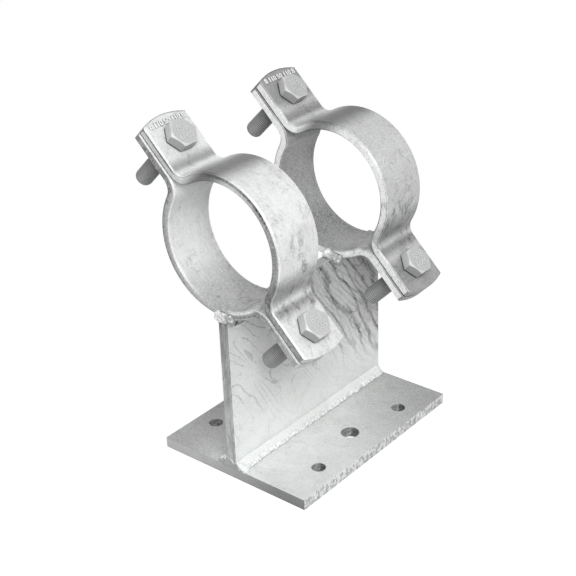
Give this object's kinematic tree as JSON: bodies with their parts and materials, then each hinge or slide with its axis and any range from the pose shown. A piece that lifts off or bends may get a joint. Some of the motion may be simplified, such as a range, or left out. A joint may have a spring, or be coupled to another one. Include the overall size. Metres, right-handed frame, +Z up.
{
  "type": "sliding pipe support",
  "caption": "Galvanised sliding pipe support: drilled base plate with a welded upright web and two bolted strap clamps that hold a pipe above the base.",
  "frame": {"origin": "middle of the base plate's underside, straight below the web", "axes": "+Z up from the base plate to the pipe, +Y along the pipe and the web, +X across the pipe towards the side that the bolt heads face"},
  "size_m": [0.2003, 0.2135, 0.3104],
  "materials": {
    "plate_zinc": "hot-dip galvanised, light grey",
    "web_zinc": "hot-dip galvanised, mottled",
    "strap_zinc": "hot-dip galvanised, fine grained",
    "bolt_zinc": "hot-dip galvanised, matt",
    "weld_zinc": "galvanised weld bead, rough"
  },
  "bodies": {
    "root": {"base_plate": "plate_zinc", "web_plate": "web_zinc", "weld_foot_right": "weld_zinc", "weld_foot_left": "weld_zinc", "clamp_lower_front": "strap_zinc", "clamp_cover_front": "strap_zinc", "bolt_upper_front": "bolt_zinc", "bolt_lower_front": "bolt_zinc", "weld_toe_front": "weld_zinc", "weld_heel_front": "weld_zinc", "clamp_lower_rear": "strap_zinc", "clamp_cover_rear": "strap_zinc", "bolt_upper_rear": "bolt_zinc", "bolt_lower_rear": "bolt_zinc", "weld_toe_rear": "weld_zinc", "weld_heel_rear": "weld_zinc"}
  },
  "joints": []
}
